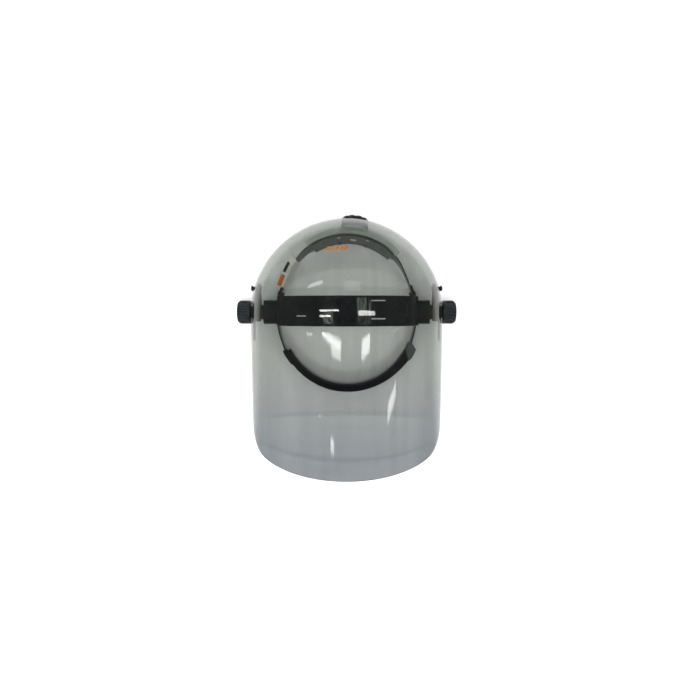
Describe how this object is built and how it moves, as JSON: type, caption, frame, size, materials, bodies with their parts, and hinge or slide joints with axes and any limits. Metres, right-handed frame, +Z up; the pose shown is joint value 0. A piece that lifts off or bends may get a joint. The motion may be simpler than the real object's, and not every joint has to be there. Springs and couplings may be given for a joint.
{
  "type": "face shield",
  "caption": "Industrial face shield: ratchet headgear with a brow pad and crown strap, and a one-piece clear domed visor raised on two side pivots.",
  "frame": {"origin": "on the plane that the head ring stands on, straight below the middle of the visor's pivot axis", "axes": "+Z up, +Y towards the back of the head, +X towards the wearer's left; the pivot axis is parallel to X"},
  "size_m": [0.2516, 0.293, 0.1515],
  "materials": {
    "band_plastic": "satin moulded polypropylene",
    "pad_cloth": "matt black brushed sweat-pad cloth over foam",
    "strap_plastic": "satin moulded nylon",
    "label_card": "printed card, white with plain orange and black blocks",
    "crown_plastic": "high gloss moulded plastic",
    "block_plastic": "fine moulded texture",
    "smoke_plastic": "translucent smoke grey, finely frosted",
    "steel": "zinc plated",
    "hub_plastic": "olive grey nylon",
    "nylon": "natural acetal",
    "visor_clear": "clear polycarbonate with a light smoke tint",
    "stud_plastic": "black nylon",
    "grommet_rubber": "black rubber",
    "knob_plastic": "satin ribbed plastic",
    "brass": "turned"
  },
  "bodies": {
    "headgear": {"brow_band": "band_plastic", "brow_pad": "pad_cloth", "pad_pegs": "band_plastic", "rear_strap_left": "strap_plastic", "rear_strap_right": "strap_plastic", "strap_rivets": "band_plastic", "strap_label": "label_card", "crown_strap_left": "crown_plastic", "crown_strap_right": "crown_plastic", "pivot_block_left": "block_plastic", "pivot_block_right": "block_plastic", "block_screws": "steel", "pivot_bolt_left": "steel", "pivot_bolt_right": "steel", "pivot_hub_left": "hub_plastic", "pivot_hub_right": "hub_plastic", "ratchet_inner_plate": "strap_plastic", "ratchet_housing": "smoke_plastic", "housing_screws": "steel", "detent_ring": "nylon"},
    "visor": {"visor_window": "visor_clear", "side_plate_left": "hub_plastic", "side_plate_right": "hub_plastic", "plate_stud_left": "stud_plastic", "plate_stud_right": "stud_plastic", "stud_clips": "steel", "pivot_grommets": "grommet_rubber", "friction_washer_left": "grommet_rubber", "friction_washer_right": "grommet_rubber"},
    "knob_left": {"tension_knob_left": "knob_plastic", "knob_insert_left": "brass", "knob_cap_left": "knob_plastic"},
    "knob_right": {"tension_knob_right": "knob_plastic", "knob_insert_right": "brass", "knob_cap_right": "knob_plastic"},
    "ratchet": {"ratchet_knob": "knob_plastic", "ratchet_pinion": "nylon", "ratchet_pawl": "nylon", "ratchet_cap": "knob_plastic"}
  },
  "joints": [
    {"name": "visor_tilt", "type": "hinge", "parent": "headgear", "child": "visor", "pos_m": [0, 0, 0.042], "axis": [1, 0, 0], "range_deg": [-8, 80.5]},
    {"name": "knob_left_turn", "type": "hinge", "parent": "headgear", "child": "knob_left", "pos_m": [-0.118, 0, 0.042], "axis": [-1, 0, 0], "range_deg": [0, 180]},
    {"name": "knob_right_turn", "type": "hinge", "parent": "headgear", "child": "knob_right", "pos_m": [0.118, 0, 0.042], "axis": [1, 0, 0], "range_deg": [0, 180]},
    {"name": "ratchet_turn", "type": "hinge", "parent": "headgear", "child": "ratchet", "pos_m": [0.00786, 0.08759, 0.023], "axis": [0.1015, 0.9606, -0.2588], "range_deg": [0, 450]}
  ]
}
